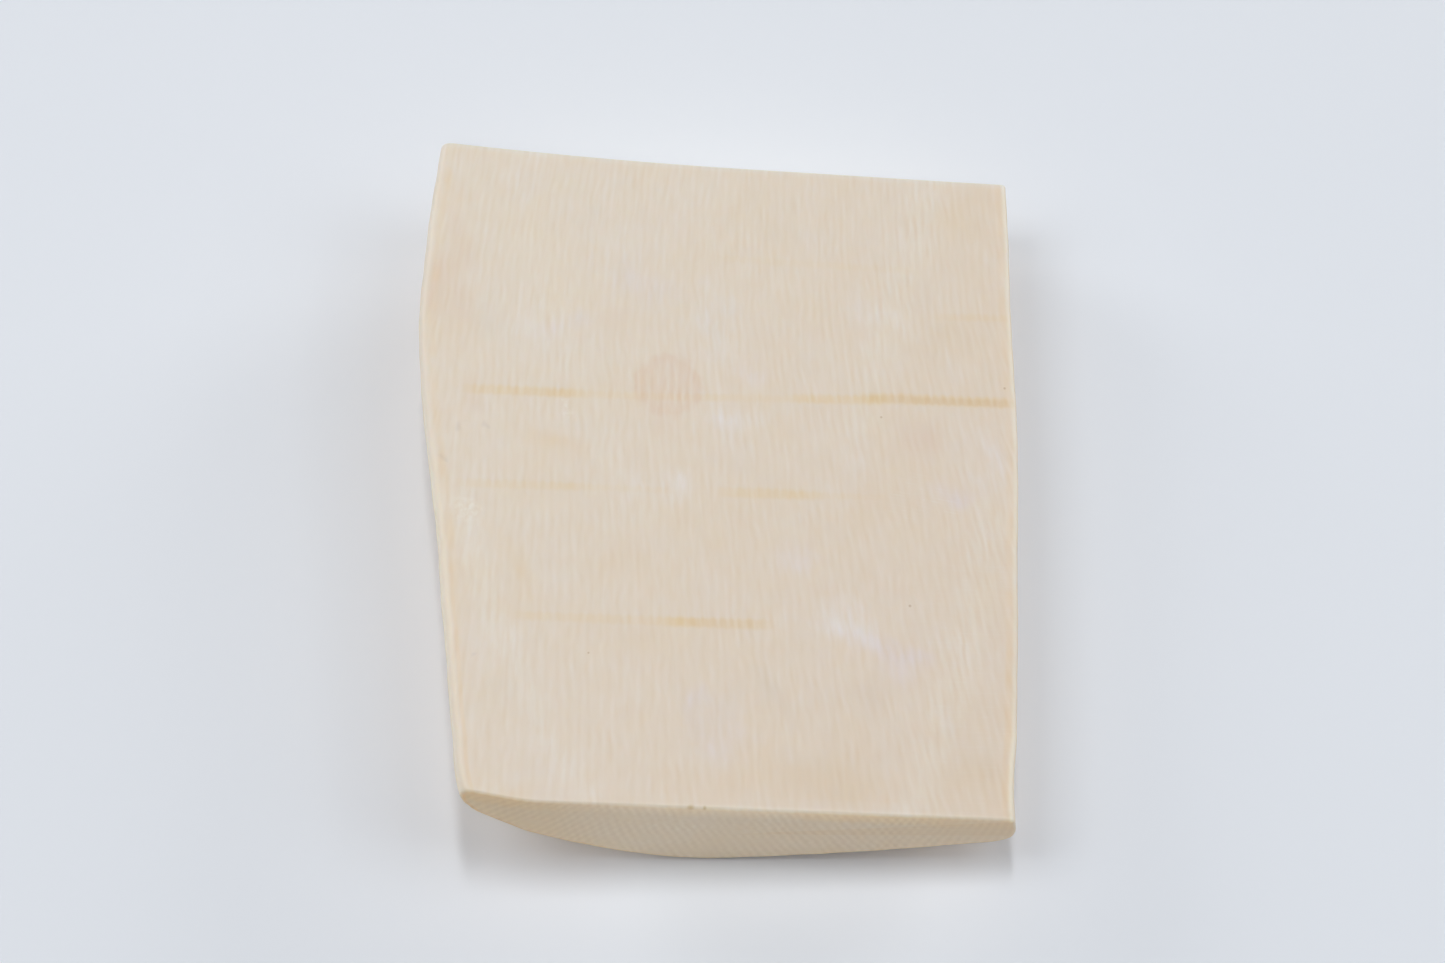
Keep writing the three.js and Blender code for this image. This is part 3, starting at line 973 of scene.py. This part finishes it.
# Rear rim: rubbed pale, and also a painted highlight along the rear arris.
rear_rim_wear_and_highlight = ramp(to_rear, 1.3, 0.1) * on_top
paint = glaze(paint, REAR_RIM_WEAR_AND_HIGHLIGHT, rear_rim_wear_and_highlight)
# Front rim and lip: rubbed pale, and also a painted highlight along the front arris.
front_rim_wear_and_highlight = ramp(to_front, 1.0, 0.25) * on_face * ramp(px, -20.0, 2.0)
paint = glaze(paint, FRONT_RIM_WEAR_AND_HIGHLIGHT, front_rim_wear_and_highlight)
pale_lip_wear_and_highlight = band(to_front, 1.35, 0.35, 0.8) * on_face
paint = glaze(paint, FRONT_LIP_WEAR_AND_HIGHLIGHT, pale_lip_wear_and_highlight * (0.4 + 0.6 * band(px, 22.0, 6.0, 10.0)))
print("edges laid")

# %% [markdown]
# ## The shader
# Polished ivory is satin, not glossy, and light sinks a millimetre or two into it, most
# of all the red. So the Principled shader gets a middling roughness that varies with the
# grain, a little scattering under the surface, and a bump in true millimetres.

# %% Gloss, scattering and bump
height = flecks * (on_top * 0.004 + 0.003) + streaks * bark * 0.06
bump = nodes.new("ShaderNodeBump")
bump.inputs["Distance"].default_value = MM
feed(bump.inputs["Height"], height)

shader = nodes["Principled BSDF"]
feed(shader.inputs["Base Color"], paint)
feed(shader.inputs["Roughness"], 0.44 + grain * 0.015 + bark * 0.14 + on_end * 0.06)
feed(shader.inputs["Normal"], Term(bump.outputs[0]))
shader.inputs["IOR"].default_value = 1.54
shader.inputs["Subsurface Weight"].default_value = 0.3
shader.inputs["Subsurface Radius"].default_value = (1.0, 0.75, 0.5)
shader.inputs["Subsurface Scale"].default_value = 2.5 * MM
mesh.materials.append(ivory)
print("nodes in the ivory:", len(nodes))

# %% [markdown]
# ## Floor, light and camera
# The floor is a plain, faintly blue sheet, far wider than any view. Two narrow strips, one
# overhead and one high in front, light the face. Boxes at both sides fill each other's
# shadows, and two low ones behind leave the front cut in half shade. The large boxes make
# the shadows wide and weak, as on a light table. The camera looks down at 63 degrees.

# %% A plain floor
FLOOR_HALF = 2.0
FAINT_BLUE = (0.843, 0.884, 0.947, 1)
floor_mesh = bpy.data.meshes.new("floor")
corners = [(-FLOOR_HALF, -FLOOR_HALF, 0), (FLOOR_HALF, -FLOOR_HALF, 0),
           (FLOOR_HALF, FLOOR_HALF, 0), (-FLOOR_HALF, FLOOR_HALF, 0)]
floor_mesh.from_pydata(corners, [], [(0, 1, 2, 3)])
floor = bpy.data.objects.new("floor", floor_mesh)
bpy.context.collection.objects.link(floor)
floor_finish = bpy.data.materials.new("floor_finish")
floor_finish.use_nodes = True
sheet = floor_finish.node_tree.nodes["Principled BSDF"]
sheet.inputs["Base Color"].default_value = FAINT_BLUE
sheet.inputs["Roughness"].default_value = 0.8
sheet.inputs["Specular IOR Level"].default_value = 0.2
floor_mesh.materials.append(floor_finish)

# %% Sky and soft boxes
world = bpy.data.worlds.new("soft_room")
bpy.context.scene.world = world
world.use_nodes = True
world.node_tree.nodes["Background"].inputs["Color"].default_value = (1.0, 1.0, 1.0, 1)
world.node_tree.nodes["Background"].inputs["Strength"].default_value = 0.0
BOX_DISTANCE = 1.3


def soft_box(name, azimuth, height, watts, width=0.55, length=0.55):
    """A light on a sphere round the piece: (cos h sin a, cos h cos a, sin h) * distance."""
    a, h = math.radians(azimuth), math.radians(height)
    light = bpy.data.lights.new(name, "AREA")
    light.shape = "RECTANGLE"
    light.size = width
    light.size_y = length
    light.energy = watts
    lamp = bpy.data.objects.new(name, light)
    direction = np.array([math.cos(h) * math.sin(a), math.cos(h) * math.cos(a), math.sin(h)])
    lamp.location = direction * BOX_DISTANCE
    lamp.rotation_euler = (-lamp.location).to_track_quat("-Z", "Y").to_euler()
    lamp.visible_camera = False
    bpy.context.collection.objects.link(lamp)


soft_box("top_strip", 0, 84, 3.4, width=0.1, length=0.3)
soft_box("front_strip", 180, 64, 2.5, width=0.1, length=0.3)
soft_box("front_low_box", 180, 8, 1.5, length=0.25)
soft_box("left_high_box", 273, 64, 3.3)
soft_box("right_high_box", 87, 61, 1.8)
soft_box("left_box", 260, 44, 1.15)
soft_box("right_box", 100, 44, 1.5)
soft_box("rear_left_box", 305, 19, 4.1)
soft_box("rear_right_box", 55, 19, 4.1)
print("soft boxes:", len(bpy.data.lights))

# %% The camera
AIM = lay_down(np.array([-0.05, -1.5, 0])) + shift
LOOK_DOWN, DISTANCE = math.radians(63), 561.0
LENS, SENSOR = 90, 36
camera_data = bpy.data.cameras.new("camera")
camera_data.lens = LENS
camera_data.sensor_width = SENSOR
camera = bpy.data.objects.new("camera", camera_data)
away = np.array([0, -math.cos(LOOK_DOWN), math.sin(LOOK_DOWN)]) * DISTANCE
camera.location = (AIM + away) * MM
camera.rotation_euler = (math.pi / 2 - LOOK_DOWN, 0, 0)
bpy.context.collection.objects.link(camera)
bpy.context.scene.camera = camera
bpy.context.scene.view_settings.view_transform = "Standard"
print("camera at", [round(v, 3) for v in camera.location])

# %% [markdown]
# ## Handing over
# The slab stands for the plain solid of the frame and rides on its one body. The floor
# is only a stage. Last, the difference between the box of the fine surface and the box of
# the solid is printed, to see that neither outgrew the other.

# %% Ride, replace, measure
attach(slab, "root")
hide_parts(NODE)
floor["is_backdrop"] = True
visual_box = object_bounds()
difference = (np.array(visual_box) - np.array(cad_box)) / MM
print("size difference in mm:", difference.round(3).tolist())
